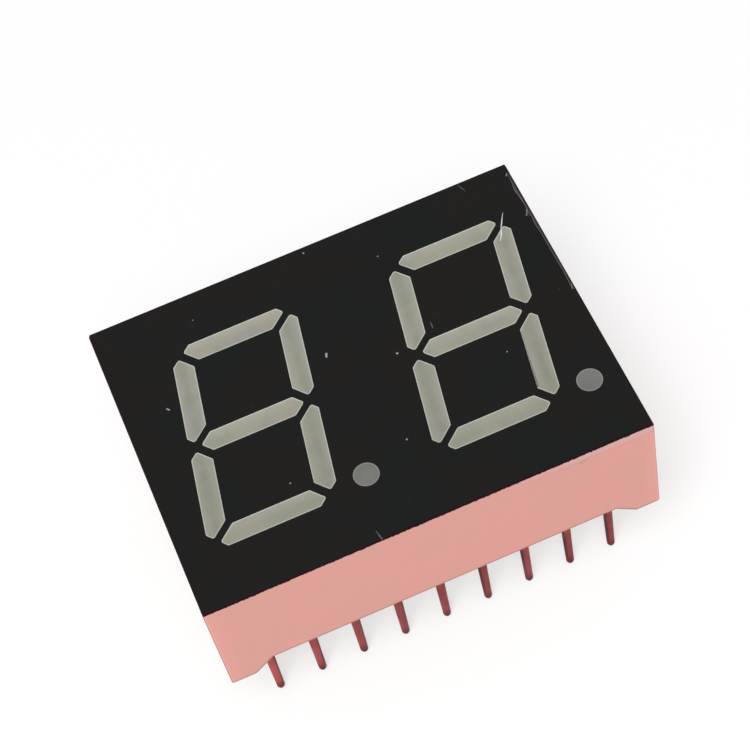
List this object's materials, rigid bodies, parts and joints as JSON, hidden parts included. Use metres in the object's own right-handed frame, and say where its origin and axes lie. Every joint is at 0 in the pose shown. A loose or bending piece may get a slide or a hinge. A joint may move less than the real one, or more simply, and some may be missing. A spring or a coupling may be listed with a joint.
{
  "type": "seven-segment display",
  "caption": "Numeric segment display module for a circuit board: slanted light bars with decimal points in a black face, on a moulded housing with corner feet and solder pins.",
  "frame": {"origin": "middle of the rectangle that the tips of the solder pins stand on", "axes": "+X along the pair of digits from left to right, +Y to the digits' tops, +Z out of the face, pins pointing down"},
  "size_m": [0.025, 0.019, 0.0143],
  "materials": {
    "housing_plastic": "dull pink moulded plastic with a fine satin surface",
    "black_film": "black satin film with fine scratches and chipped edges",
    "milky_resin": "milky grey-green diffusing epoxy, smooth",
    "point_resin": "darker grey diffusing epoxy, smooth",
    "board_laminate": "glass-epoxy laminate",
    "chip_crystal": "polished semiconductor crystal with a bright pad",
    "back_resin": "poured sealing epoxy, glossy",
    "pin_metal": "dusty red plated wire, satin"
  },
  "bodies": {
    "root": {"reflector_housing": "housing_plastic", "face_film": "black_film", "left_bar_a": "milky_resin", "left_bar_b": "milky_resin", "left_bar_c": "milky_resin", "left_bar_d": "milky_resin", "left_bar_e": "milky_resin", "left_bar_f": "milky_resin", "left_bar_g": "milky_resin", "left_point": "point_resin", "right_bar_a": "milky_resin", "right_bar_b": "milky_resin", "right_bar_c": "milky_resin", "right_bar_d": "milky_resin", "right_bar_e": "milky_resin", "right_bar_f": "milky_resin", "right_bar_g": "milky_resin", "right_point": "point_resin", "circuit_board": "board_laminate", "left_chip_a": "chip_crystal", "left_chip_b": "chip_crystal", "left_chip_c": "chip_crystal", "left_chip_d": "chip_crystal", "left_chip_e": "chip_crystal", "left_chip_f": "chip_crystal", "left_chip_g": "chip_crystal", "left_chip_point": "chip_crystal", "right_chip_a": "chip_crystal", "right_chip_b": "chip_crystal", "right_chip_c": "chip_crystal", "right_chip_d": "chip_crystal", "right_chip_e": "chip_crystal", "right_chip_f": "chip_crystal", "right_chip_g": "chip_crystal", "right_chip_point": "chip_crystal", "sealing_resin": "back_resin", "pin_01": "pin_metal", "pin_02": "pin_metal", "pin_03": "pin_metal", "pin_04": "pin_metal", "pin_05": "pin_metal", "pin_06": "pin_metal", "pin_07": "pin_metal", "pin_08": "pin_metal", "pin_09": "pin_metal", "pin_10": "pin_metal", "pin_11": "pin_metal", "pin_12": "pin_metal", "pin_13": "pin_metal", "pin_14": "pin_metal", "pin_15": "pin_metal", "pin_16": "pin_metal", "pin_17": "pin_metal", "pin_18": "pin_metal"}
  },
  "joints": []
}
